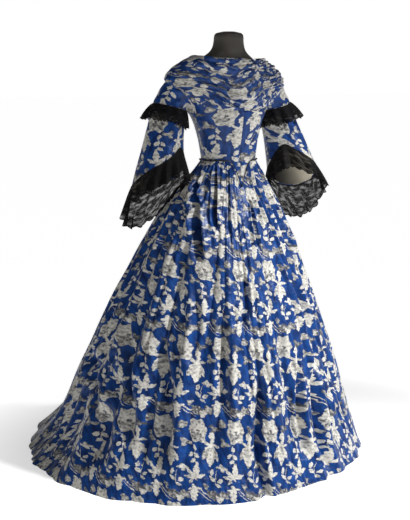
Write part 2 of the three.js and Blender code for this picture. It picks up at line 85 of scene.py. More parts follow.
STOMACH = {"flat": 38, "full": 930, "ends": 450}
# The skirt's main folds: the ridge's place at the hem, half width, height, start below the waist,
# and how far round it stands at the waist from its place at the hem.
FOLDS = (
    (11, 7, 16, 180, 0), (27, 7, 16, 120, 3), (44, 8, 20, 60, -4), (62, 9, 24, 30, -3),
    (82, 9, 26, 20, 0), (101, 9, 24, 10, 3), (120, 9, 28, 0, 5), (138, 9, 30, 0, 6),
    (155, 8, 32, 0, 4), (171, 8, 34, 0, 2), (187, 8, 34, 0, -2), (204, 8, 32, 0, -4),
    (222, 9, 30, 0, -6), (240, 9, 30, 10, -5), (258, 8, 28, 20, -3), (275, 8, 28, 10, -3),
    (294, 8, 28, 20, -6), (314, 8, 24, 40, -6), (333, 8, 20, 100, -3), (353, 8, 20, 140, 0),
)
FOLD_FULL = 560
FOLD_SINK = 13
FOLD_WIDTH = 0.62  # of its half width in the table
SLEEVE = table(
    "station out back z wide deep",
    (0, 188, 41, 1250, 56, 54), (1, 206, 38, 1206, 58, 57), (2, 230, 26, 1119, 65, 64),
    (3, 246, 12, 1048, 75, 73), (4, 260, 0, 984, 85, 84), (5, 274, -12, 917, 94, 92),
    (6, 288, -24, 840, 101, 99), (7, 300, -34, 770, 107, 105),
)
SLEEVE_LEAN = 15
SLEEVE_HEM = table(
    "round ends lace",
    (0, 3.4, 1.0), (30, 2.8, 1.05), (60, 2.55, 1.15), (90, 3.0, 1.15), (120, 3.6, 1.15),
    (150, 4.15, 1.15), (180, 4.65, 1.05), (210, 5.05, 1.35), (240, 5.15, 1.65), (270, 4.95, 1.6),
    (300, 4.5, 1.3), (330, 3.95, 1.0),
)
ARMHOLE = {"middle": 219, "tall": 72, "wide": 15, "seam": 4}
RUFFLE = {"top": 1.02, "long": 0.62, "flare": 20, "wave": 5.5, "waves": 12}
CUFF_LACE = {"over": 0.06, "flare": 6, "wave": 6, "waves": 14, "scallop": 0.07, "clear": 6}
SWAG = {"middle": 172, "side": 200, "under": 68, "reach": 100, "widens": (235, 105)}
FORM = table(
    "z wide deep back",
    (838, 128, 92, 14), (850, 140, 104, 14), (890, 142, 106, 12), (935, 128, 93, 9),
    (975, 110, 84, 5), (1005, 98, 78, 2), (1028, 95.5, 77.5, 0), (1088, 102.5, 87, 3),
    (1147, 116.5, 101, 6), (1177, 128, 107.5, 9), (1203, 134, 108, 12), (1230, 141, 104, 17),
    (1256, 150, 97, 23), (1278, 158, 91, 28), (1300, 162, 85, 31), (1322, 158, 79.5, 31),
    (1341, 138, 74, 27), (1359, 112, 68, 20), (1374, 88, 62, 12), (1386, 70, 57, 7),
    (1398, 59, 55, 4), (1410, 54, 53, 2), (1425, 51, 52, 1), (1440, 50, 51, 0), (1449, 47, 48, 0),
    (1455, 38, 39, 0), (1458, 20, 21, 0),
)


# ---- Interpolation ----
def ease(t):
    t = np.clip(t, 0, 1)
    return t * t * (3 - 2 * t)


def rise(value, start, over):
    """Eases from 0 to 1 from a start over a span; where the span is negative, while the value falls."""
    return ease((value - start) / over)


def mix(a, b, t):
    return a + (b - a) * t


def turn_between(a, b):
    """The angle from b to a, between -180 and 180 degrees."""
    return np.mod(np.asarray(a) - b + 180, 360) - 180


def hump(away, half=1.0):
    """1 in the middle of a soft rise, and about a third of that at its half width."""
    return np.exp(-((away / half) ** 2))


def read(curve, key, column, at):
    """A smooth curve through one column of a table."""
    keys = curve[key]
    values = curve[column]
    slope = np.empty(len(keys))
    slope[1:-1] = (values[2:] - values[:-2]) / (keys[2:] - keys[:-2])
    slope[0] = (values[1] - values[0]) / (keys[1] - keys[0])
    slope[-1] = (values[-1] - values[-2]) / (keys[-1] - keys[-2])
    low = np.clip(np.searchsorted(keys, at, side="right") - 1, 0, len(keys) - 2)
    span = keys[low + 1] - keys[low]
    t = np.clip((at - keys[low]) / span, 0, 1)
    eased = (3 - 2 * t) * t * t
    return (
        (1 - eased) * values[low]
        + eased * values[low + 1]
        + t * (1 - t) ** 2 * span * slope[low]
        - t * t * (1 - t) * span * slope[low + 1]
    )


def read_all(curve, key, columns, at):
    return (read(curve, key, column, at) for column in columns.split())


def read_round(curve, key, column, angle):
    """The same for a table that goes once round a circle in degrees."""
    turns = {name: np.concatenate([values] * 3) for name, values in curve.items()}
    turns[key] = np.concatenate([curve[key] - 360, curve[key], curve[key] + 360])
    return read(turns, key, column, np.mod(angle, 360))


# ---- The body's surface: the bodice above the waist and the skirt's bell below it ----
def sin(degrees):
    return np.sin(np.radians(degrees))


def cos(degrees):
    return np.cos(np.radians(degrees))


def point(x, y, z):
    return np.stack(np.broadcast_arrays(x, y, z), axis=-1).astype(float)


def oval_radius(around, wide, deep):
    return wide * deep / np.hypot(deep * sin(around), wide * cos(around))


def at_radius(around, radius, z, back=0.0):
    return point(sin(around) * radius, back - cos(around) * radius, z)


def bodice(around, up):
    wide, deep, back, z, dip, fall = read_all(TORSO, "up", "wide deep back z dip fall", up)
    lower = dip * np.maximum(0, cos(around)) + fall * np.maximum(0, sin(around)) ** 2
    return at_radius(around, oval_radius(around, wide, deep), WAIST_Z + z - lower, back)


def bell_radius(around, z):
    waist = oval_radius(around, TORSO["wide"][0], TORSO["deep"][0])
    trailing = read_round(HEM, "around", "trail", around) * np.clip(1 - z / TRAIL_TOP, 0, 1) ** 2
    flat, full, ends = STOMACH["flat"], STOMACH["full"], STOMACH["ends"]
    grows = rise(z, WAIST_Z, full - WAIST_Z) * rise(z, ends, full - ends)
    flatter = flat * np.maximum(0, cos(around)) ** 2 * grows
    spread = mix(waist, read_round(HEM, "around", "reach", around), read(SPREAD, "z", "share", z))
    return spread + trailing - flatter


def bell(around, z, fold=0.0):
    return at_radius(around, bell_radius(around, z) + fold, z)


def body(around, up):
    above = np.asarray(up)[..., None] >= 0
    return np.where(above, bodice(around, np.maximum(up, 0)), bell(around, WAIST_Z + np.minimum(up, 0)))


def unit(vectors):
    return vectors / np.maximum(np.linalg.norm(vectors, axis=-1, keepdims=True), 1e-9)


def body_normal(around, up):
    """The outward direction, from the surface half a degree and a millimetre to each side."""
    along = body(around + 0.5, up) - body(around - 0.5, up)
    upward = body(around, np.minimum(up + 1, NECKLINE)) - body(around, np.minimum(up, NECKLINE - 1) - 1)
    return unit(np.cross(along, upward))


def waist_seam(around):
    """How far up the body the waist seam runs: below the waist, and down to the point in front."""
    away = np.hypot(turn_between(around, 0), POINT_ROUNDING) - POINT_ROUNDING
    return -(SIDE_DROP + POINT_DROP * np.clip(1 - away / POINT_SPREAD, 0, 1) ** POINT_SHARPNESS)


# ---- Meshes ----
def grid(columns, rows):
    """u and v from 0 to 1 at each point of a sheet, v going down the rows of the arrays."""
    return np.meshgrid(np.linspace(0, 1, columns + 1), np.linspace(0, 1, rows + 1))


def arc_lengths(points, axis):
    """How far each point lies along its row or column of the sheet, in metres."""
    steps = np.linalg.norm(np.diff(points, axis=axis), axis=-1) * MM
    return np.insert(np.cumsum(steps, axis=axis), 0, 0, axis=axis)


def from_the_middle(points):
    """How far each point lies along its row from the sheet's middle column, in metres."""
    along = arc_lengths(points, 1)
    return along - along[:, along.shape[1] // 2][:, None]


def sheet_mesh(name, points, uv, ring=False, turned=False):
    """A sheet through a grid of points in millimetres. A ring's last column is its first again."""
    rows, columns = points.shape[0] - 1, points.shape[1] - 1
    across = columns if ring else columns + 1
    i, j = np.meshgrid(np.arange(columns), np.arange(rows))
    right = (i + 1) % across
    corners = [(j, i, i), (j, right, i + 1), (j + 1, right, i + 1), (j + 1, i, i)]
    if turned:
        corners = corners[::-1]
    faces = np.stack([row * across + column for row, column, _ in corners], axis=-1).reshape(-1, 4)
    texture = np.stack([uv[row, column] for row, _, column in corners], axis=-2).reshape(-1, 2)
    mesh = bpy.data.meshes.new(name)
    vertices = points[:, :across].reshape(-1, 3) * MM
    mesh.from_pydata(vertices.tolist(), [], faces.tolist())
    layer = mesh.uv_layers.new(name="cloth")
    layer.data.foreach_set("uv", texture.ravel())
    mesh.polygons.foreach_set("use_smooth", np.ones(len(faces), bool))
    mesh.update()
    return mesh


def add_object(name, data):
    thing = bpy.data.objects.new(name, data)
    bpy.context.scene.collection.objects.link(thing)
    return thing


def add_piece(name, mesh, material, slot, node):
    piece = add_object(name, mesh)
    mesh.materials.append(material)
    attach(piece, "root")
    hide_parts(node)
    return piece


def declare(piece, cut, held, *rests_on):
    return piece


def thicken(piece, thickness):
    solidify = piece.modifiers.new("thickness", "SOLIDIFY")
    solidify.thickness = thickness * MM
    solidify.offset = -1
    return piece


# ---- Materials ----
class Field:
    """A number at each point of a surface, as a socket of a material's node tree."""

    def __init__(self, tree, socket):
        self.tree = tree
        self.socket = socket

    def math(self, operation, *inputs, clamp=False):
        node = self.tree.nodes.new("ShaderNodeMath")
        node.operation = operation
        node.use_clamp = clamp
        for slot, value in zip(node.inputs, inputs):
            if isinstance(value, Field):
                self.tree.links.new(value.socket, slot)
            else:
                slot.default_value = value
        return Field(self.tree, node.outputs[0])

    def __add__(self, other):
        return self.math("ADD", self, other)

    def __sub__(self, other):
        return self.math("SUBTRACT", self, other)

    def __rsub__(self, other):
        return self.math("SUBTRACT", other, self)

    def __mul__(self, other):
        return self.math("MULTIPLY", self, other)

    def __truediv__(self, other):
        return self.math("DIVIDE", self, other)

    def __abs__(self):
        return self.math("ABSOLUTE", self)

    def scaled(self, by, plus, clamp=False):
        return self.math("MULTIPLY_ADD", self, by, plus, clamp=clamp)

    def clamped(self):
        return self.math("ADD", self, 0.0, clamp=True)

    def over(self, other):
        return self.math("MAXIMUM", self, other)

    def cosine(self):
        return self.math("COSINE", self)

    def power(self, exponent):
        return self.math("POWER", self, exponent)

    def wrapped(self, period):
        return self.math("WRAP", self, period / 2, -period / 2)

    def zigzag(self, height):
        return self.math("PINGPONG", self, height)

    def towards(self, other, share):
        return self + (other - self) * share


def new_material(name):
    """An empty material with a Principled shader, and its node tree."""
    material = bpy.data.materials.new(name)
    material.use_nodes = True
    return material, material.node_tree, material.node_tree.nodes["Principled BSDF"]


def give(shader, looks):
    """Sets a shader's inputs. A field or a socket is linked to its input, and anything else is set."""
    for name, look in looks.items():
        if isinstance(look, Field):
            look = look.socket
        if isinstance(look, bpy.types.NodeSocket):
            shader.id_data.links.new(look, shader.inputs[name])
        else:
            shader.inputs[name].default_value = look


def coordinate(tree, output, scale=None):
    node = tree.nodes.new("ShaderNodeTexCoord")
    if scale is None:
        return node.outputs[output]
    mapping = tree.nodes.new("ShaderNodeMapping")
    mapping.inputs["Scale"].default_value = scale
    tree.links.new(node.outputs[output], mapping.inputs["Vector"])
    return mapping.outputs["Vector"]


def noise(tree, vector, scale, detail=2.0, roughness=0.5):
    node = tree.nodes.new("ShaderNodeTexNoise")
    give(node, {"Vector": vector, "Scale": scale, "Detail": detail, "Roughness": roughness})
    return Field(tree, node.outputs["Fac"])


def colour_mix(tree, share, first, second):
    """A colour between two others; each is a colour's socket or its linear red, green and blue."""
    node = tree.nodes.new("ShaderNodeMix")
    node.data_type = "RGBA"
    tree.links.new(share.socket, node.inputs["Factor"])
    for slot, colour in (("A", first), ("B", second)):
        target = next(s for s in node.inputs if s.name == slot and s.type == "RGBA")
        if isinstance(colour, tuple):
            target.default_value = (*colour, 1)
        else:
            tree.links.new(colour, target)
    return next(s for s in node.outputs if s.type == "RGBA")


def bump(tree, shader, height, distance, strength=1.0):
    node = tree.nodes.new("ShaderNodeBump")
    give(node, {"Height": height, "Distance": distance, "Strength": strength})
    tree.links.new(node.outputs["Normal"], shader.inputs["Normal"])


def linear(hexadecimal):
    """The linear red, green and blue of a colour written as on the web."""
    levels = [int(hexadecimal[i : i + 2], 16) / 255 for i in (0, 2, 4)]
    return tuple(c / 12.92 if c < 0.04045 else ((c + 0.055) / 1.055) ** 2.4 for c in levels)


# The woven flowers stand straight below one another. Metres.
REPEAT = 0.118
ROW = 0.262
# The skirt's gathers narrow its flowers to this share of the width that they have elsewhere.
GATHERED = 0.64
ROSE_AT = (0.0, 0.0)
FLOWER_AT = (0.015, -0.05)
LEAF_AT = (0.045, 0.03)
SPRAY_AT = (-0.01, 0.12)
# The sprigs of one repeat. x and y are measured from its rose, y down the cloth, in centimetres,
# like the half width and half length; turn is in degrees. Lobes have a number and a depth, leaves a
# number of teeth and their depth. tone is from 0, grey, to 1, cream.
LOBED = (
    # cell, x, y, half width, half length, turn, lobes, depth, tone
    (FLOWER_AT, 0.6, -6.4, 2.3, 1.6, 24, 5, 0.18, 0.15),
    (FLOWER_AT, 3.9, -6.3, 2.5, 1.5, -20, 5, 0.2, 0.3),
    (FLOWER_AT, 2.4, -5.2, 1.4, 1.2, 0, 3, 0.18, 0.85),
    (FLOWER_AT, 2.2, -6.6, 0.6, 0.5, 0, 3, 0.1, -0.6),
    (LEAF_AT, 5.1, -0.4, 2.1, 1.4, 16, 3, 0.3, 0.1),
    (SPRAY_AT, -3.9, 24.0, 1.3, 1.5, 30, 3, 0.14, 0.45),
    (LEAF_AT, 3.2, 4.8, 2.5, 2.2, 12, 5, 0.34, 0.85),
    (LEAF_AT, 7.7, 3.6, 2.0, 1.6, 24, 3, 0.32, 0.4),
    (LEAF_AT, 5.3, 11.4, 1.8, 1.2, 10, 4, 0.24, 0.75),
    (SPRAY_AT, -3.6, 14.1, 1.7, 1.5, 20, 6, 0.24, 0.75),
    (SPRAY_AT, -4.3, 18.0, 2.1, 1.3, 0, 4, 0.28, 0.9),
    (SPRAY_AT, -0.9, 17.3, 0.9, 1.1, 0, 3, 0.2, 0.35),
)
LEAVES = (
    # cell, x, y, half width, half length, turn, teeth, depth, tone
    (LEAF_AT, 2.4, 8.4, 1.3, 3.1, 14, 1, 0.1, 0.9),
    (LEAF_AT, 1.2, 7.1, 0.9, 2.3, 38, 1, 0.1, 0.6),
    (LEAF_AT, 3.9, 7.3, 0.9, 2.3, -16, 1, 0.1, 0.75),
    (LEAF_AT, 3.9, 1.9, 0.9, 1.6, 8, 1, 0.0, 0.95),
    (SPRAY_AT, -4.9, 19.8, 1.2, 2.4, 14, 2, 0.3, 0.9),
    (SPRAY_AT, -1.8, 5.3, 0.45, 1.1, -6, 1, 0.0, 0.9),
    (SPRAY_AT, -3.3, 7.4, 0.6, 1.0, 46, 1, 0.0, 0.95),
    (SPRAY_AT, -1.7, 7.7, 0.55, 1.1, -34, 1, 0.0, 0.9),
    (SPRAY_AT, -3.0, 9.3, 0.55, 1.0, 60, 1, 0.0, 0.9),
    (SPRAY_AT, -2.0, 10.2, 0.4, 0.8, -20, 1, 0.0, 0.7),
    (SPRAY_AT, -2.6, 12.3, 1.0, 2.4, 14, 2, 0.2, 0.95),
    (SPRAY_AT, -4.7, 12.9, 0.6, 1.5, -30, 1, 0.0, 0.85),
    (SPRAY_AT, -1.5, 14.0, 0.6, 1.4, 66, 1, 0.0, 0.9),
    (SPRAY_AT, -5.6, 14.4, 0.5, 1.3, -72, 1, 0.0, 0.75),
    (SPRAY_AT, -4.9, 15.6, 0.45, 1.1, 40, 1, 0.0, 0.75),
    (SPRAY_AT, 1.9, 12.9, 0.6, 1.2, 30, 1, 0.0, 0.9),
    (SPRAY_AT, 1.6, 14.9, 0.65, 1.1, -38, 1, 0.0, 0.95),
    (SPRAY_AT, 3.9, 15.4, 0.6, 1.1, 66, 1, 0.0, 0.85),
    (SPRAY_AT, 2.9, 16.8, 0.5, 1.0, -60, 1, 0.0, 0.7),
)
STEMS = (
    # cell, x, y, half width, half length, turn
    (FLOWER_AT, -1.3, -6.3, 0.17, 2.7, -44),
    (FLOWER_AT, -1.9, -5.7, 0.14, 2.4, -44),
    (SPRAY_AT, -2.3, 7.6, 0.1, 2.6, 10),
    (SPRAY_AT, 2.6, 14.6, 0.1, 2.8, 14),
)
ROSE = (
    # cell, x, y, half width, half length, turn, lobes, depth, tone, squareness
    (ROSE_AT, 0, 0, 2.75, 3.9, 8, 6, 0.08, 0.85, 3.2),
    (ROSE_AT, -0.6, 0.8, 1.705, 2.184, 40, 4, 0.12, 0.45, 2.0),
    (ROSE_AT, 0.4, -0.4, 1.375, 1.95, 70, 3, 0.16, 1.0, 2.0),
    (ROSE_AT, 0.1, 0.2, 0.55, 0.78, 0, 3, 0.2, 0.1, 2.0),
)
MOTIF_EDGE = 0.0009  # the woven edge goes over from one colour to the other in this width
WOVEN_RAGGED = 0.009  # how far the weft shifts a flower's edge, over its whole range
# How light or dark the woven shading inside a sprig is, on the scale of its tone.
PETAL_RAYS = 0.14
PETAL_RIM = {"dark": 0.35, "middle": 0.15}
LEAF_VEINS = {"light": 0.12, "each tooth": 12.0, "slant": 5.0}
LEAF_RIB = {"dark": 0.5, "middle": 0.55, "fades": 9.0}
STEM_TONE = 0.8
STEM_BEND = 6.0


class Repeat:
    """The cloth's coordinates, and the sprigs drawn so far on its repeat."""

    def __init__(self, tree):
        uv = tree.nodes.new("ShaderNodeSeparateXYZ")
        tree.links.new(coordinate(tree, "UV"), uv.inputs["Vector"])
        flat = coordinate(tree, "UV", (1.0, 1.0, 0.0))
        ragged = noise(tree, flat, 130.0, 1.0).scaled(WOVEN_RAGGED, -WOVEN_RAGGED / 2)
        uneven = noise(tree, flat, 97.0, 1.0).scaled(WOVEN_RAGGED, -WOVEN_RAGGED / 2)
        self.across = Field(tree, uv.outputs["X"]) + ragged
        self.down = Field(tree, uv.outputs["Y"]) + uneven
        self.cells = {}
        self.cover = self.across * 0
        self.tone = self.across * 0

    def cell(self, centre):
        """Coordinates from the nearest copy of one place of the repeat."""
        if centre not in self.cells:
            across = self.across - centre[0]
            down = self.down - centre[1]
            self.cells[centre] = (across.wrapped(REPEAT), down.wrapped(ROW))
        return self.cells[centre]

    def local(self, centre, x, y, turn):
        """Metres from one sprig's middle, along its own axes."""
        across, down = self.cell(centre)
        across = across - (x - centre[0])
        down = down - (y - centre[1])
        if turn == 0:
            return across, down
        c, s = math.cos(math.radians(turn)), math.sin(math.radians(turn))
        return across * c + down * s, down * c - across * s

    def draw(self, inside, size, tone):
        """Adds a sprig. inside is above 0 within its outline, as a share of its size."""
        mask = inside.scaled(size / MOTIF_EDGE, 0.5, clamp=True)
        self.cover = self.cover.over(mask)
        self.tone = self.tone.towards(tone, mask)

    def lobed(self, centre, x, y, wide, long, turn, lobes, depth, tone, squareness=2.0):
        across, down = self.local(centre, x, y, turn)
        across, down = across / wide, down / long
        reach = (abs(across).power(squareness) + abs(down).power(squareness)).power(1 / squareness)
        spoke = down.math("ARCTAN2", down, across)
        edge = spoke.scaled(lobes, 0.7).cosine().scaled(depth, 1 - depth)
        rays = spoke.scaled(lobes * 2, 0.3).cosine() * PETAL_RAYS
        shade = rays + reach.scaled(-PETAL_RIM["dark"], tone + PETAL_RIM["middle"])
        self.draw(edge - reach, min(wide, long), shade)

    def leaf(self, centre, x, y, wide, long, turn, teeth, depth, tone):
        across, down = self.local(centre, x, y, turn)
        along = down / long
        side = abs(across) / wide
        taper = 1 - along * along
        notch = (along * teeth + side * 0.6).zigzag(0.5).scaled(2 * depth, 1 - depth)
        veins = along * (teeth * LEAF_VEINS["each tooth"]) - side * LEAF_VEINS["slant"]
        veins = veins.cosine() * LEAF_VEINS["light"]
        rib = side.scaled(-LEAF_RIB["fades"], LEAF_RIB["middle"]).over(0) * LEAF_RIB["dark"]
        self.draw(taper * notch - side, wide, veins - rib + tone)

    def stem(self, centre, x, y, wide, long, turn):
        across, down = self.local(centre, x, y, turn)
        bend = down * down * STEM_BEND
        along = down / long
        inside = 1 - abs(across - bend) / wide - (along * along * along * along)
        self.draw(inside, wide, STEM_TONE)


CM = 0.01


def draw_flowers(repeat):
    """Draws the sprigs in the order in which they lie over one another."""
    layers = ((repeat.stem, STEMS), (repeat.lobed, LOBED), (repeat.leaf, LEAVES), (repeat.lobed, ROSE))
    for draw, sprigs in layers:
        for cell, x, y, wide, long, *shape in sprigs:
            draw(cell, x * CM, y * CM, wide * CM, long * CM, *shape)


FLOWER_COLOURS = {"grey": "50525a", "cream": "e0ddd4"}
GROUND_COLOURS = {"dark": "051948", "light": "19509e"}


def silk_material():
    """Blue satin with woven cream and grey flowers."""
    material, tree, shader = new_material("figured silk")
    repeat = Repeat(tree)
    draw_flowers(repeat)
    threads = coordinate(tree, "UV")
    slub = noise(tree, coordinate(tree, "UV", (900.0, 60.0, 1.0)), 1.0, 2.0)
    # Painted sheen and shade: noise mottles the blue ground, standing in for satin sheen and small
    # wrinkles.
    painted_sheen_noise = noise(tree, coordinate(tree, "UV", (75.0, 24.0, 1.0)), 1.0, 3.0)
    petals = noise(tree, threads, 110.0, 2.0).scaled(2.6, -1.3)
    tone = (repeat.tone + slub.scaled(0.16, -0.08) + petals).clamped()
    motif = colour_mix(tree, tone, linear(FLOWER_COLOURS["grey"]), linear(FLOWER_COLOURS["cream"]))
    painted_sheen_share = painted_sheen_noise.scaled(2.2, -0.6, clamp=True)
    blue = colour_mix(tree, painted_sheen_share, linear(GROUND_COLOURS["dark"]), linear(GROUND_COLOURS["light"]))
    cover = repeat.cover
    give(shader, {"Base Color": colour_mix(tree, cover, blue, motif), "Roughness": cover * 0.14 + 0.36})
    give(shader, {"Specular IOR Level": 0.35, "Sheen Weight": 0.05, "Sheen Roughness": 0.45})
    weave = slub + cover * 0.8
    rumple = noise(tree, coordinate(tree, "Object"), 34.0, 2.0)
    bump(tree, shader, weave * 0.06 + rumple, 0.008, 0.8)
    return material


def attribute(tree, name):
    """A value that the sheet's own points carry."""
    node = tree.nodes.new("ShaderNodeAttribute")
    node.attribute_name = name
    return Field(tree, node.outputs["Fac"])


NET_MESHES = 420.0  # in a metre
LACE_SWIRLS = {"across": 230.0, "down": 260.0, "bent across": 150.0, "bent down": 180.0}


def lace_material():
    """Black machine lace: a fine net with flowers, open between its threads, with thick edges."""
    material, tree, shader = new_material("black lace")
    uv = tree.nodes.new("ShaderNodeSeparateXYZ")
    tree.links.new(coordinate(tree, "UV"), uv.inputs["Vector"])
    across = Field(tree, uv.outputs["X"])
    down = Field(tree, uv.outputs["Y"])
    net = tree.nodes.new("ShaderNodeTexVoronoi")
    net.feature = "DISTANCE_TO_EDGE"
    net.inputs["Scale"].default_value = NET_MESHES
    tree.links.new(coordinate(tree, "UV"), net.inputs["Vector"])
    threads = Field(tree, net.outputs["Distance"]).scaled(-0.8, 1.12, clamp=True)
    bent_across = (down * LACE_SWIRLS["bent across"]).cosine() * 1.6
    bent_down = (across * LACE_SWIRLS["bent down"]).cosine() * 1.9
    swirl_across = (across * LACE_SWIRLS["across"] + bent_across).cosine()
    swirl_down = (down * LACE_SWIRLS["down"] + bent_down).cosine()
    flowers = (swirl_across * swirl_down).scaled(3.0, -0.3, clamp=True)
    solid = (flowers * 0.9).over(attribute(tree, "band"))
    thin = noise(tree, coordinate(tree, "UV"), 70.0, 1.0).scaled(1.1, 0.42, clamp=True)
    give(shader, {"Base Color": (*linear("0c0b0d"), 1), "Alpha": (threads * thin).over(solid)})
    give(shader, {"Roughness": 0.8, "Specular IOR Level": 0.2})
    bump(tree, shader, solid, 0.0004, 0.6)
    return material


def cloth_threads(tree, thread, stains, roughness):
    """A plain weave's uneven threads, and the shade that they and soft stains give it."""
    warp = noise(tree, coordinate(tree, "Object", (thread, thread, thread * 0.1)), 1.0, 2.0)
    stain = noise(tree, coordinate(tree, "Object"), stains, 3.0, roughness)
    return warp, (warp * 0.35 + stain * 0.65).scaled(1.6, -0.3, clamp=True)


THREAD_RELIEF = {"distance": 0.0003, "strength": 0.4}
FACING_GLOW = 0.34


def lining_material():
    """Cream silk facing at the sleeve's mouth, going over into near-black painted shade inside."""
    material, tree, shader = new_material("sleeve lining")
    warp, shade = cloth_threads(tree, 1500.0, 18.0, 0.5)
    cream = colour_mix(tree, shade, linear("d8ccae"), linear("f4ecd8"))
    # Painted shade: away from the lit facing the lining is near black, for the shade inside the sleeve.
    painted_shade = colour_mix(tree, shade, linear("0b0a09"), linear("191613"))
    facing = attribute(tree, "facing")
    give(shader, {"Base Color": colour_mix(tree, facing, painted_shade, cream), "Roughness": 0.6})
    # Painted light: an emission glow stands in for the daylight that comes through the thin silk.
    glow = facing * shade * FACING_GLOW
    give(shader, {"Emission Color": (*linear("f0e6cc"), 1), "Emission Strength": glow})
    bump(tree, shader, warp, **THREAD_RELIEF)
    return material


def plain_cloth(name, dark, light, roughness, thread, sheen):
    """A plain woven cloth with uneven threads and soft staining."""
    material, tree, shader = new_material(name)
    warp, shade = cloth_threads(tree, thread, 14.0, 0.55)
    colour = colour_mix(tree, shade, linear(dark), linear(light))
    give(shader, {"Base Color": colour, "Roughness": roughness, "Sheen Weight": sheen})
    bump(tree, shader, warp, **THREAD_RELIEF)
    return material


def metal_material():
    """Dark metal with a little wear."""
    material, tree, shader = new_material("stand metal")
    wear = noise(tree, coordinate(tree, "Object"), 40.0, 4.0, 0.6)
    colour = colour_mix(tree, wear, linear("26262a"), linear("4a4a4e"))
    give(shader, {"Base Color": colour, "Roughness": wear.scaled(0.25, 0.3), "Metallic": 0.9})
    bump(tree, shader, wear, 0.0002, 0.4)
    return material


SILK_CLOTH = silk_material()
BLACK_LACE = lace_material()
SLEEVE_LINING = lining_material()
PIPING_SILK = plain_cloth("black piping", "050506", "121215", 0.55, 2500.0, 0.0)
FORM_COVER = plain_cloth("form cover", "37342f", "57524b", 0.42, 1400.0, 0.05)
STAND_METAL = metal_material()

# ---- Skirt ----
# Each width runs from seam to seam. Its flowers stand straight down the skirt where its grain is.
SKIRT_WIDTHS = (
    # name, start, end, grain
    ("skirt_front", -30, 30, 0),
    ("skirt_left_front", 30, 90, 42),
    ("skirt_left_back", 90, 150, 120),
    ("skirt_back", 150, 210, 180),
    ("skirt_right_back", 210, 270, 240),
    ("skirt_right_front", 270, 330, 0),
)
# Soft troughs laid in the places where the photograph shows them.
CREASES = (
    # start around, start z, end around, end z, half width in degrees, depth
    (-84, 1004, -49, 690, 2.6, 42.5),
    (-57, 1016, -40, 790, 1.7, 35),
    (-30, 960, -29, 760, 2.0, 7.5),
    (10, 900, 1, 730, 1.9, 25),
    (30, 930, 24, 800, 2.2, 8.75),
    (68, 880, 47, 640, 2.3, 27.5),
    (-17, 660, -20, 480, 1.9, 21.25),
    (35, 620, 38, 450, 2.6, 12.5),
    (-15, 340, -17, 0, 1.6, 27.5),
    (34, 400, 17, 20, 2.2, 22.5),
    (43, 260, 27, 60, 2.2, 11.25),
    (-112, 420, -74, 60, 3.4, 18.75),
    (-64, 490, -51, 90, 2.0, 25),
    (-80, 340, -78, 140, 2.4, 12.5),
    (-34, 560, -29, 180, 2.0, 18.75),
    (4, 480, 3, 220, 2.2, 10),
    (18, 400, 4, 60, 1.7, 22.5),
    (-86, 520, -66, 120, 2.1, 22.5),
    (-49, 640, -46, 380, 1.7, 17.5),
    (66, 900, 60, 300, 3.2, 15),
    # From here round the back, guessed.
    (92, 960, 92, 120, 3.0, 15),
    (112, 980, 110, 60, 3.0, 17.5),
    (131, 990, 129, 40, 3.0, 18.75),
    (150, 1000, 147, 20, 2.6, 20),
    (165, 1000, 163, 20, 2.4, 17.5),
    (180, 1000, 179, 0, 2.6, 20),
    (196, 1000, 196, 0, 2.4, 17.5),
    (212, 1000, 213, 10, 2.6, 20),
    (229, 990, 231, 30, 2.8, 18.75),
    (247, 980, 250, 40, 3.0, 17.5),
)
# A crease fades at both ends over a share of its run, but keeps most of its depth where it reaches the
# hem. It bends and sways on its way down, and the cloth on both sides of it stands up in a low lip.
CREASE = {"fade": 0.22, "top": 0.15, "hem": 30, "at hem": 0.6, "bend": 1.6, "sway": 1.1, "sways": 5}
CREASE_LIP = {"high": 0.38, "away": 2.2}


def fold_height(around, below):
    height = -FOLD_SINK * ease(below / FOLD_FULL)
    for place, half, high, start, lean in FOLDS:
        away = turn_between(around, place + lean * (1 - below / WAIST_Z))
        height = height + high * ease((below - start) / FOLD_FULL) * hump(away, FOLD_WIDTH * half)
    return height


def crease_depth(around, z):
    depth = np.zeros(np.shape(around))
    for number, (start_around, start_z, end_around, end_z, half, deep) in enumerate(CREASES):
        run = (start_z - z) / (start_z - end_z)
        at_end = CREASE["at hem"] if end_z < CREASE["hem"] else 0
        fade = ease(run / CREASE["fade"] + CREASE["top"]) * ease((1 - run) / CREASE["fade"] + at_end)
        turned = 1 - (1 - np.clip(run, 0, 1)) ** CREASE["bend"]
        sway = CREASE["sway"] * np.sin(CREASE["sways"] * run + number)
        away = turn_between(around, mix(start_around, end_around, turned) + sway) / half
        lip = CREASE_LIP["high"] * hump(np.abs(away) - CREASE_LIP["away"])
        depth = depth + deep * fade * (hump(away) - lip)
    return depth


# Where the gathers begin round from the front and over how many degrees they grow; the same down from
# the waist seam, where they grow and where they die out.
GATHERS = {"high": 5.0, "side": (14, 30), "seam": (0, 40), "out": (90, 360)}


def gathers(around, below):
    """Uneven small gathers under the waist seam, flat over the stomach and dying out downwards."""
    side = rise(np.abs(turn_between(around, 0)), *GATHERS["side"])
    full = rise(below, *GATHERS["seam"]) * (1 - rise(below, *GATHERS["out"]))
    phase = 0.62 * around + 2.2 * sin(5 * around) + 1.4 * sin(11 * around + 40)
    fine = 1 - 2 * np.abs(np.cos(phase / 2)) ** 1.6 + 0.5 * np.sin(1.9 * phase + 0.008 * below + 1)
    return GATHERS["high"] * side * full * fine


def soft_wander(around, z):
    """Slow unevenness, a few millimetres high, of cloth that has hung and been handled."""
    a = np.radians(around)
    return (
        1.7 * np.sin(9 * a + z / 97)
        + 1.3 * np.sin(17 * a - z / 71 + 1.3)
        + 0.9 * np.sin(31 * a + z / 53 + 0.6)
        + 0.8 * np.sin(5 * a) * np.sin(z / 38)
    ) * rise(z, WAIST_Z, -200)


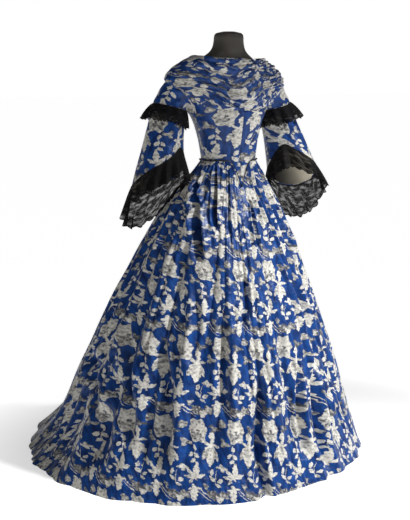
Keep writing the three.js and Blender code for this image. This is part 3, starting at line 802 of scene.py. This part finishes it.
# One fold in so many degrees, its height as a share of the skirt's radius, and how much less that is
# in front and at the hem; the ridge's roundness, and how far it is lowered to stand about the surface.
SMALL_FOLDS = {"every": 7.5, "high": 0.026, "front": 0.35, "hem": 0.7, "low": (220, -220)}
SMALL_RIDGE = {"rounded": 0.75, "lowered": 1.4}


def small_folds(around, z):
    """Narrow folds of the skirt's fullness, each a few centimetres wide, of uneven depth."""
    a = np.radians(around)
    phase = 2 * np.pi * around / SMALL_FOLDS["every"]
    phase = phase + 3.4 * np.sin(4 * a + 0.8 + z / 900) + 2.4 * np.sin(7 * a + z / 260)
    ridge = 2 * np.abs(np.sin(phase / 2)) ** SMALL_RIDGE["rounded"] - SMALL_RIDGE["lowered"]
    uneven = 0.7 + 0.3 * np.sin(11 * a + z / 190 + 1) * np.sin(5 * a - z / 240)
    front = 1 - SMALL_FOLDS["front"] * np.maximum(0, cos(around)) ** 4
    low = 1 - SMALL_FOLDS["hem"] * rise(z, *SMALL_FOLDS["low"])
    return SMALL_FOLDS["high"] * bell_radius(around, z) * uneven * front * ridge * low


SKIRT_FINE = (150, 190)  # columns and rows of a width's mesh
SKIRT_ROWS = 1.15  # above 1, the rows stand closer under the waist
DETAIL_GROWS = 14  # the fine folds grow over this distance below the waist seam
FORM_AIR = 2.5
# A stiff facing inside the hem evens the folds out towards the floor.
HEM_FACING = {"low": (190, -190), "fold": 4, "share": 0.6}
PATTERN_START = (-0.032, -0.133)  # the first rose stands here from the front centre and the waist
WIDER = {"from": 0.04, "by": 0.68}  # towards the left side the front's fullness is pulled open


def round_the_bell(around, z, grain):
    """How far round the skirt a point lies from its width's grain line, in metres."""
    turned = turn_between(around, grain)
    steps = 24
    radius = sum(bell_radius(grain + turned * (step + 0.5) / steps, z) for step in range(steps)) / steps
    length = np.radians(turned) * radius * MM
    pulled = (grain == 0) & (length > WIDER["from"])
    return np.where(pulled, mix(WIDER["from"], length, WIDER["by"]), length)


def form_reach(around, z):
    """How far from the middle the form and a little air reach, and 0 below the form."""
    wide, deep, back = read_all(FORM, "z", "wide deep back", z)
    reach = oval_radius(around, wide, deep) - back * cos(around) + FORM_AIR
    return np.where(z > FORM["z"][0], reach, 0)


def skirt_width(name, start, end, grain):
    u, v = grid(*SKIRT_FINE)
    middle = mix(start, end, u)
    top = WAIST_Z + waist_seam(middle) - SEAM
    z = top * (1 - v**SKIRT_ROWS)
    gap = np.degrees(SEAM / 2 / bell_radius(middle, z))
    around = mix(start + gap, end - gap, u)
    detail = gathers(around, top - z) + soft_wander(around, z) + small_folds(around, z)
    detail = detail - crease_depth(around, z)
    facing = HEM_FACING["share"] * rise(z, *HEM_FACING["low"])
    fold = mix(fold_height(around, top - z), HEM_FACING["fold"], facing)
    fold = fold + detail * ease((top - z) / DETAIL_GROWS)
    fold = np.maximum(fold, form_reach(around, z) - bell_radius(around, z))
    along = round_the_bell(around, z, grain)
    down = arc_lengths(bell(around, z), 0) - (waist_seam(middle[0]) * MM)[None, :]
    uv = np.stack([along + PATTERN_START[0], down + PATTERN_START[1]], axis=-1)
    mesh = sheet_mesh(name + "_silk", bell(around, z, fold)[::-1], uv[::-1])
    piece = add_piece(name + "_silk", mesh, SILK_CLOTH, "silk", name)
    return declare(piece, name, "gathered", "waist_piping")


# ---- Bodice ----
def armhole_half(up):
    t = np.clip((up - ARMHOLE["middle"]) / ARMHOLE["tall"], -1, 1)
    return ARMHOLE["wide"] * np.sqrt(1 - t * t)


BODICE_RADIUS = 115
# Soft pulls on the bodice: around, up the body, half sizes across and up in mm, slant and depth.
BODICE_PULLS = (
    (0, 10, 2.5, 70, 0, 2.0),
    (-42, 40, 5, 34, 0.25, 2.2),
    (-24, 30, 5, 40, 0.2, 1.6),
    (22, 34, 5, 40, -0.2, 1.6),
    (44, 60, 6, 40, -0.3, 2.0),
    (-70, 90, 6, 46, 0.3, 2.4),
    (70, 96, 6, 46, -0.3, 2.4),
    (-60, 20, 5, 26, 0.1, 1.6),
    (140, 60, 6, 60, -0.2, 1.6),
    (220, 60, 6, 60, 0.2, 1.6),
    (165, 40, 5, 40, 0.1, 1.2),
    (196, 40, 5, 40, -0.1, 1.2),
)


def bodice_pulls(around, up):
    depth = np.zeros(np.shape(around))
    for place, height, wide, tall, slant, deep in BODICE_PULLS:
        above = up - height
        away = np.radians(turn_between(around, place)) * BODICE_RADIUS - slant * above
        depth = depth + deep * hump(away, wide) * hump(above, tall)
    return depth


BODICE_PIECES = (
    # name, start, end, mesh columns, where the pattern starts across and down
    ("bodice_front_right", -90, 0, 70, (-0.014, 0.153)),
    ("bodice_front_left", 0, 90, 70, (0.045, 0.21)),
    ("bodice_back", 90, 270, 130, (0.0, 0.05)),
)
BODICE_FINE = {"rows": 110, "below waist": 0.16}  # the second is the share of them below the waist
SIDE_SEAM = 90
SEAM_RADIUS = 100


def bodice_piece(name, start, end, columns, shift):
    u, v = grid(columns, BODICE_FINE["rows"])
    share = BODICE_FINE["below waist"]
    bottom = waist_seam(mix(start, end, u))
    up = np.where(v < share, mix(bottom, 0, v / share), mix(0, NECKLINE, (v - share) / (1 - share)))
    gap = np.degrees(SEAM / 2 / SEAM_RADIUS)
    half = armhole_half(up)
    first = start + gap + (half if abs(start) == SIDE_SEAM else 0)
    last = end - gap - (half if end % 180 == SIDE_SEAM else 0)
    around = mix(first, last, u)
    pull = bodice_pulls(around, up) * rise(up, bottom, 25) * rise(up, NECKLINE, -30)
    points = body(around, up) - body_normal(around, up) * pull[..., None]
    along = from_the_middle(body(around, up))
    uv = np.stack([along * GATHERED + shift[0], -up * MM + shift[1]], axis=-1)
    mesh = sheet_mesh(name + "_silk", points, uv)
    piece = thicken(add_piece(name + "_silk", mesh, SILK_CLOTH, "silk", name), SILK)
    return declare(piece, name, "stretched", "form_torso")


# ---- Swag ----
SWAG_FOLDS = {"count": 6.5, "sag": 0.34, "high": 13.5, "rounded": 2.4, "first": 4}
# The tight folds at the left shoulder: where they begin and over how far they grow, their share of the
# broad ones' height, how round they are, and the height of the puckers between them.
SWAG_TIGHT = {"across": (0.3, 0.5), "high": 0.7, "rounded": 1.8, "puckered": 0.1}
SWAG_FINE = (190, 160)
SWAG_COLUMNS = 0.75  # below 1, the columns stand closer at the shoulders
SWAG_EDGES = {"lower": (0, 0.035), "upper": (1, -0.025), "height": 0.3}
SWAG_CLEAR = LACE + AIR + 1.3
SWAG_THICK = 1.0
# The pattern is closed up where folds and gathers take up cloth, and it slants away from the middle.
SWAG_PATTERN = {"folded": 1.45, "gathered": 0.5, "slant": 0.35, "start": (0.01, 0.1)}


def soft_folds(phase, rounded):
    """Rounded ridges with tight valleys between them, each of its own height."""
    high = 0.74 + 0.26 * np.sin(2.4 * np.floor(phase) + 0.7)
    return high * (1 - np.abs(2 * np.mod(phase, 1) - 1) ** rounded)


def tightened(across):
    return rise(across, *SWAG_TIGHT["across"])


def swag_height(across, v):
    """Broad folds that hang from the right shoulder and are gathered tight at the left one."""
    tight = tightened(across)
    sagging = v - SWAG_FOLDS["sag"] * np.abs(across) ** 1.7 * (1 - 0.45 * tight)
    drift = 0.05 * np.sin(3.3 * across + 5 * v) + 0.02 * np.sin(9 * across - 7 * v)
    phase = SWAG_FOLDS["count"] * (sagging + drift) + SWAG_FOLDS["first"]
    broad = soft_folds(phase, SWAG_FOLDS["rounded"])
    narrow = soft_folds(2 * phase + 0.35 * np.sin(11 * across), SWAG_TIGHT["rounded"])
    puckers = np.sin(30 * across + 4 * np.sin(13 * v)) * np.sin(22 * v + 2.5 * np.sin(9 * across))
    return mix(broad, SWAG_TIGHT["high"] * narrow, tight) + SWAG_TIGHT["puckered"] * tight * puckers


def swag_fullness(across):
    """How high the folds stand: higher towards the left shoulder, low at both ends."""
    rising = 0.35 * rise(across, 0.2, 0.5)
    return 1 + rising - 0.85 * rise(across, -0.5, -0.35) - 0.75 * rise(across, 0.7, 0.22)


def swag_piece():
    u, v = grid(*SWAG_FINE)
    across = np.sign(u - 0.5) * np.abs(2 * u - 1) ** SWAG_COLUMNS
    low = mix(SWAG["middle"], SWAG["side"], np.abs(across) ** 2.5)
    up = mix(low, NECKLINE - 2, v)
    around = across * mix(SWAG["under"], SWAG["reach"], rise(up, *SWAG["widens"]))
    edges = rise(v, *SWAG_EDGES["lower"]) * rise(v, *SWAG_EDGES["upper"])
    fullness = swag_fullness(across) * mix(SWAG_EDGES["height"], 1, edges)
    shoulders = 3.5 * rise(across, 0.5, 0.3) + 1.5 * rise(across, -0.5, -0.3)
    proud = SWAG_CLEAR + shoulders + SWAG_FOLDS["high"] * swag_height(across, v) * fullness
    points = body(around, up) + body_normal(around, up) * proud[..., None]
    along = from_the_middle(points) * (1 + SWAG_PATTERN["gathered"] * tightened(across))
    down = SWAG_PATTERN["slant"] * np.abs(along) - SWAG_PATTERN["folded"] * arc_lengths(points, 0)
    start = SWAG_PATTERN["start"]
    uv = np.stack([along * GATHERED + start[0], down + start[1]], axis=-1)
    mesh = sheet_mesh("swag_silk", points, uv)
    piece = thicken(add_piece("swag_silk", mesh, SILK_CLOTH, "silk", "bodice_swag"), SWAG_THICK)
    return declare(piece, "bodice_swag", "gathered", *(row[0] for row in BODICE_PIECES))


# The piping's radius, how far its strands stand out, how often they wind, and its way out of the seam.
PIPING = {"radius": 2.125, "strand": 0.25, "strands": 3, "turns": 40, "out": 3.4}


def piping_piece():
    around, turn = np.meshgrid(np.linspace(0, 360, 361), np.linspace(0, 360, 11))
    strands = cos(PIPING["strands"] * turn + PIPING["turns"] * around)
    radius = PIPING["radius"] + PIPING["strand"] * strands
    edge = body(around, waist_seam(around))
    outward = unit(point(sin(around), -cos(around), 0.35))
    points = edge + outward * (PIPING["out"] + AIR + radius * cos(turn))[..., None]
    points[..., 2] += radius * sin(turn)
    uv = np.stack([around / 360, turn / 360], axis=-1)
    mesh = sheet_mesh("piping_cord", points[::-1], uv, ring=True)
    return add_piece("piping_cord", mesh, PIPING_SILK, "piping", "waist_piping")


# ---- Sleeves ----
def arm(name, station):
    return read(SLEEVE, "station", name, station)


def arm_point(round_, station, proud=0.0):
    """A point of the wearer's left sleeve: round is 0 next to the body, 90 in front, 180 outside."""
    out = -cos(round_) * (arm("wide", station) + proud)
    return point(
        arm("out", station) + out * cos(SLEEVE_LEAN),
        arm("back", station) - sin(round_) * (arm("deep", station) + proud),
        arm("z", station) + out * sin(SLEEVE_LEAN),
    )


def armhole_point(round_, proud):
    up = ARMHOLE["middle"] - (ARMHOLE["tall"] + ARMHOLE["seam"]) * cos(round_)
    around = 90 - (ARMHOLE["wide"] + ARMHOLE["seam"] / 2) * sin(round_)
    return body(around, up) + body_normal(around, up) * proud


def clear_of_bodice(points, clear):
    """The sleeve next to the body lies on the bodice's side."""
    x, z = points[..., 0], points[..., 2]
    wide, deep, back = read_all(TORSO, "z", "wide deep back", z - WAIST_Z)
    behind = points[..., 1] - back
    reach = np.hypot(x, behind)
    around = np.degrees(np.arctan2(x, -behind))
    push = np.maximum(1, (oval_radius(around, wide, deep) + clear) / reach)
    return point(x * push, back + behind * push, z)


def clear_of_skirt(points, clear):
    """The lace next to the body lies on the skirt."""
    x, y, z = points[..., 0], points[..., 1], points[..., 2]
    around = np.degrees(np.arctan2(x, -y))
    below = np.maximum(WAIST_Z - z, 0)
    skirt = bell_radius(around, np.minimum(z, WAIST_Z)) + fold_height(around, below) + clear
    push = np.where(z < WAIST_Z, np.maximum(1, skirt / np.hypot(x, y)), 1)
    return point(x * push, y * push, z)


# Soft rings round the upper sleeve: their height, and the stations where they grow and die out.
SLEEVE_RINGS = {"high": 1.3, "top": (0, 0.2), "out": (1.15, -0.5)}
# Long folds of the lower sleeve: round it, half width, the station where each begins, how many
# stations it takes to grow, and its height.
SLEEVE_PULLS = (
    (75, 16, 1.3, 0.8, -4.5),
    (232, 14, 1.2, 0.8, -4.0),
    (150, 20, 1.6, 1.0, 3.0),
)


def sleeve_wrinkles(round_, station):
    """Soft creases that ring the sleeve above the elbow, and long ones that fall below it."""
    fade = rise(station, *SLEEVE_RINGS["top"]) * rise(station, *SLEEVE_RINGS["out"])
    height = SLEEVE_RINGS["high"] * fade * np.sin(9.5 * station + 1.3 * sin(round_ + 30))
    for place, half, begins, grows, high in SLEEVE_PULLS:
        height = height + high * hump(turn_between(round_, place), half) * rise(station, begins, grows)
    return height


def sleeve_fold(round_):
    return 3.5 * cos(3 * round_ + 40)


SIDES = {"right": -1, "left": 1}
SET_OFF = {"right": 2.4, "left": 1.2}  # how far the sleeve's head lies off the bodice
SLEEVE_FINE = (192, 60)
LACE_FINE = (420, 31)


def sleeve_cloth(side, node, fabric, points, look, held, hangs_from, shift, thick, **marks):
    """One layer of a sleeve. The points are the left sleeve's, and marks are values that they carry."""
    material, slot = look
    sign = SIDES[side]
    points = points * np.array([sign, 1, 1])
    girth = arc_lengths(points, 1)[:, -1:]
    along = np.linspace(-0.5, 0.5, points.shape[1]) * girth * sign
    uv = np.stack([along * GATHERED + shift[0], arc_lengths(points, 0) + shift[1]], axis=-1)
    name = f"{node}_{fabric}_{side}"
    mesh = sheet_mesh(name, points, uv, ring=True, turned=sign < 0)
    for label, values in marks.items():
        mark = mesh.attributes.new(label, "FLOAT", "POINT")
        mark.data.foreach_set("value", values[:, :-1].ravel().astype(np.float32))
    piece = add_piece(name, mesh, material, slot, f"{node}_{side}")
    if thick:
        thicken(piece, thick)
    return declare(piece, node, held, f"{hangs_from}_{side}")


# The head curves from the armhole into the arm; below it the sleeve stands this far off the bodice.
SLEEVE_HEAD = {"curve": 2.2, "clear": SILK + AIR + 3, "below": (0, 0.3)}
LOWER_TOP = 1.0036
LINING = {"top": 1.5, "shorter": 0.03, "within": SILK + AIR + 0.4}
# The lit cream facing shows towards the hem, on the sleeve mouth's outer side; elsewhere, painted shade.
LIT_FACING = {"down": (0.3, 0.3), "place": 192, "half": 42}


def upper_sleeve(round_, v, set_off):
    head = armhole_point(round_, set_off)
    set_in = 1 - (1 - v) ** SLEEVE_HEAD["curve"]
    points = mix(head, arm_point(round_, v, sleeve_wrinkles(round_, v)), set_in[..., None])
    return clear_of_bodice(points, mix(set_off, SLEEVE_HEAD["clear"], rise(v, *SLEEVE_HEAD["below"])))


def lower_sleeve(round_, v, top, shorter, within):
    station = mix(top, read_round(SLEEVE_HEM, "round", "ends", round_) - shorter, v)
    proud = sleeve_fold(round_) * ease(v) + sleeve_wrinkles(round_, station) - within
    return arm_point(round_, station, proud)


LACE_PROUD = LACE + AIR + 0.8
# Both laces are close-woven in a band along the top and in a narrow one along the edge.
LACE_BANDS = {"top": (0.12, -0.04), "edge": (0.93, 0.03)}
# The ruffle stands off more on the sleeve's outer side, and waves more there.
RUFFLE_FREE = {"mean": 0.65, "uneven": 0.35, "wave": 4.0}
# The thin lace waves more than the solid, and lies double on the outer side.
CUFF_WAVE = CUFF_LACE["wave"] + 7
CUFF_DOUBLED = {"share": 0.72, "place": 172, "half": 36}


def elbow_ruffle(round_, v):
    free = RUFFLE_FREE["mean"] - RUFFLE_FREE["uneven"] * cos(round_)
    wave = cos(RUFFLE["waves"] * round_ + 50 * sin(2 * round_)) * v**0.7
    wave = wave * (RUFFLE["wave"] + RUFFLE_FREE["wave"] * free)
    scallop = 0.06 * np.abs(cos(22 * round_)) * rise(v, 0.7, 0.3)
    long = RUFFLE["long"] * (0.94 + 0.05 * cos(5 * round_ + 20))
    proud = LACE_PROUD + RUFFLE["flare"] * free * v**0.8 + wave
    return arm_point(round_, RUFFLE["top"] + long * v + scallop, proud)


def cuff_lace(round_, v):
    wave = CUFF_WAVE * cos(CUFF_LACE["waves"] * round_ + 60 * sin(3 * round_)) * v**0.8
    scallop = CUFF_LACE["scallop"] * (1.2 * np.abs(cos(17 * round_)) - 0.5) * rise(v, 0.6, 0.4)
    ends, long = (read_round(SLEEVE_HEM, "round", column, round_) for column in ("ends", "lace"))
    station = ends - CUFF_LACE["over"] + long * v + scallop
    proud = LACE_PROUD + sleeve_fold(round_) + CUFF_LACE["flare"] * v + wave
    proud = proud + sleeve_wrinkles(round_, station) * (1 - v)
    return clear_of_skirt(arm_point(round_, station, proud), CUFF_LACE["clear"])


def sleeve_grid(columns, rows):
    """Degrees round the sleeve, and from 0 to 1 down it."""
    return np.meshgrid(np.linspace(0, -360, columns + 1), np.linspace(0, 1, rows))


def sleeve_pieces(side):
    round_, v = sleeve_grid(*SLEEVE_FINE)
    silk, lace, no_shift = (SILK_CLOTH, "silk"), (BLACK_LACE, "lace"), (0.0, 0.0)
    points = upper_sleeve(round_, v, SET_OFF[side])
    sleeve_cloth(side, "sleeve_upper", "silk", points, silk, "hung", "bodice_front", (0.0, 0.04), SILK)
    points = lower_sleeve(round_, v, LOWER_TOP, 0, 0)
    sleeve_cloth(side, "sleeve_lower", "silk", points, silk, "hung", "sleeve_upper", (0.02, 0.2), 1.0)
    points = lower_sleeve(round_, v, LINING["top"], LINING["shorter"], LINING["within"])
    # The lit cream facing; the rest of the lining gets painted shade.
    facing = rise(v, *LIT_FACING["down"]) * hump(turn_between(round_, LIT_FACING["place"]), LIT_FACING["half"])
    look = (SLEEVE_LINING, "lining")
    sleeve_cloth(
        side, "sleeve_lining", "silk", points, look, "hung", "sleeve_lower", no_shift, None, facing=facing
    )
    round_, v = sleeve_grid(*LACE_FINE)
    band = rise(v, *LACE_BANDS["top"]) + rise(v, *LACE_BANDS["edge"])
    points = elbow_ruffle(round_, v)
    sleeve_cloth(
        side, "elbow_ruffle", "lace", points, lace, "gathered", "sleeve_upper", no_shift, None, band=band
    )
    doubled = hump(turn_between(round_, CUFF_DOUBLED["place"]), CUFF_DOUBLED["half"])
    band = np.maximum(band, CUFF_DOUBLED["share"] * doubled)
    points = cuff_lace(round_, v)
    sleeve_cloth(
        side, "cuff_lace", "net", points, lace, "gathered", "sleeve_lower", no_shift, None, band=band
    )


# ---- Form and stand ----
def form_piece():
    """The form's side, closed above and below by rings that shrink to its middle."""
    around, z = np.meshgrid(np.linspace(0, 360, 97), np.linspace(FORM["z"][0], FORM["z"][-1], 120))
    wide, deep, back = read_all(FORM, "z", "wide deep back", z)
    points = at_radius(around, oval_radius(around, wide, deep), z, back)
    shrink = np.linspace(1, 0.02, 12)[1:, None, None]
    lid_middle = np.array([0, FORM["back"][-1], FORM["z"][-1]])
    base_middle = np.array([0, FORM["back"][0], FORM["z"][0]])
    lid = lid_middle + (points[-1] - lid_middle) * shrink
    base = base_middle + (points[0] - base_middle) * shrink[::-1]
    points = np.concatenate([base, points, lid])
    uv = np.stack([arc_lengths(points, 1), arc_lengths(points, 0)], axis=-1)
    mesh = sheet_mesh("form_cover", points, uv, ring=True)
    return add_piece("form_cover", mesh, FORM_COVER, "form", "form_torso")


def finish_stand():
    for node in ("stand_foot", "stand_pole"):
        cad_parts[node].data.materials[0] = STAND_METAL


# ---- Camera, light and floor ----
# Where the camera stands round the dress, in degrees, and how far off and high, in metres; how far it
# is turned and tilted from there, in radians. Its focal length and the picture's height are in pixels.
CAMERA = {"around": -30, "away": 4.0, "high": 1.3166, "turn": 0.0201, "tilt": 0.1595}
LENS = {"focal": 1157.4, "picture": 520, "sensor": 36}
# Places in metres, powers in watts.
KEY_LIGHT = {"place": (1.9, -1.7, 3.7), "aim": (0.25, -0.5, 0.55), "size": 0.16, "power": 900, "cone": 31}
TOP_LIGHT = {"place": (-0.9, -1.8, 4.2), "aim": (0, 0, 0.8), "size": 1.6, "power": 9}
# The floor's own glow rises this much a metre away from the stand, from this value, up to full.
FLOOR_GLOW = {"rise": 1.0, "start": -0.1, "full": 0.95}
FLOOR_REACH = 60
FLOOR_GREYS = (0.78, 0.82)
STUDIO = {"seen": 1.0, "light": 0.05}


def add_camera():
    around = math.radians(CAMERA["around"])
    place = (CAMERA["away"] * math.sin(around), -CAMERA["away"] * math.cos(around), CAMERA["high"])
    turn = Euler((math.pi / 2 - CAMERA["tilt"], 0, around + CAMERA["turn"]))
    data = bpy.data.cameras.new("camera")
    data.sensor_fit = "VERTICAL"
    data.sensor_height = LENS["sensor"]
    data.lens = LENS["focal"] / LENS["picture"] * LENS["sensor"]
    camera = add_object("camera", data)
    camera.matrix_world = Matrix.Translation(place) @ turn.to_matrix().to_4x4()
    bpy.context.scene.camera = camera


def add_light(name, data, light):
    data.energy = light["power"]
    lamp = add_object(name, data)
    lamp.location = light["place"]
    away = Vector(light["place"]) - Vector(light["aim"])
    lamp.rotation_euler = away.to_track_quat("Z", "Y").to_euler()


def add_lights():
    """A narrow key from high on the wearer's left, and a weak soft light from above in front."""
    key = bpy.data.lights.new("key", "SPOT")
    key.shadow_soft_size = KEY_LIGHT["size"]
    key.spot_size = math.radians(KEY_LIGHT["cone"])
    key.spot_blend = 1
    add_light("key", key, KEY_LIGHT)
    top = bpy.data.lights.new("top", "AREA")
    top.shape = "DISK"
    top.size = TOP_LIGHT["size"]
    add_light("top", top, TOP_LIGHT)


def add_floor():
    """A pale floor that brightens into the white studio a few metres from the stand."""
    mesh = bpy.data.meshes.new("studio_floor")
    reach = FLOOR_REACH
    corners = [(-reach, -reach, 0), (reach, -reach, 0), (reach, reach, 0), (-reach, reach, 0)]
    mesh.from_pydata(corners, [], [(0, 1, 2, 3)])
    floor = add_object("studio_floor", mesh)
    material, tree, shader = new_material("studio floor")
    place = coordinate(tree, "Object")
    darker, lighter = ((grey, grey, grey) for grey in FLOOR_GREYS)
    pale = colour_mix(tree, noise(tree, place, 3.0, 2.0), darker, lighter)
    far = tree.nodes.new("ShaderNodeVectorMath")
    far.operation = "LENGTH"
    tree.links.new(place, far.inputs[0])
    glow = Field(tree, far.outputs["Value"]).scaled(FLOOR_GLOW["rise"], FLOOR_GLOW["start"], clamp=True)
    give(shader, {"Emission Color": (1, 1, 1, 1), "Emission Strength": glow * FLOOR_GLOW["full"]})
    give(shader, {"Base Color": pale, "Roughness": 0.9})
    mesh.materials.append(material)


def add_studio():
    """White behind the object; the room's own light on it is softer."""
    world = bpy.data.worlds.new("studio")
    world.use_nodes = True
    tree = world.node_tree
    rays = tree.nodes.new("ShaderNodeLightPath")
    seen = Field(tree, rays.outputs["Is Camera Ray"])
    strength = seen.scaled(STUDIO["seen"] - STUDIO["light"], STUDIO["light"])
    give(tree.nodes["Background"], {"Color": (1, 1, 1, 1), "Strength": strength})
    bpy.context.scene.world = world
    bpy.context.scene.view_settings.view_transform = "Standard"


# ---- The whole ----
for width_row in SKIRT_WIDTHS:
    skirt_width(*width_row)
for bodice_row in BODICE_PIECES:
    bodice_piece(*bodice_row)
swag_piece()
piping_piece()
for sleeve_side in SIDES:
    sleeve_pieces(sleeve_side)
form_piece()
finish_stand()
add_camera()
add_floor()
add_studio()
add_lights()
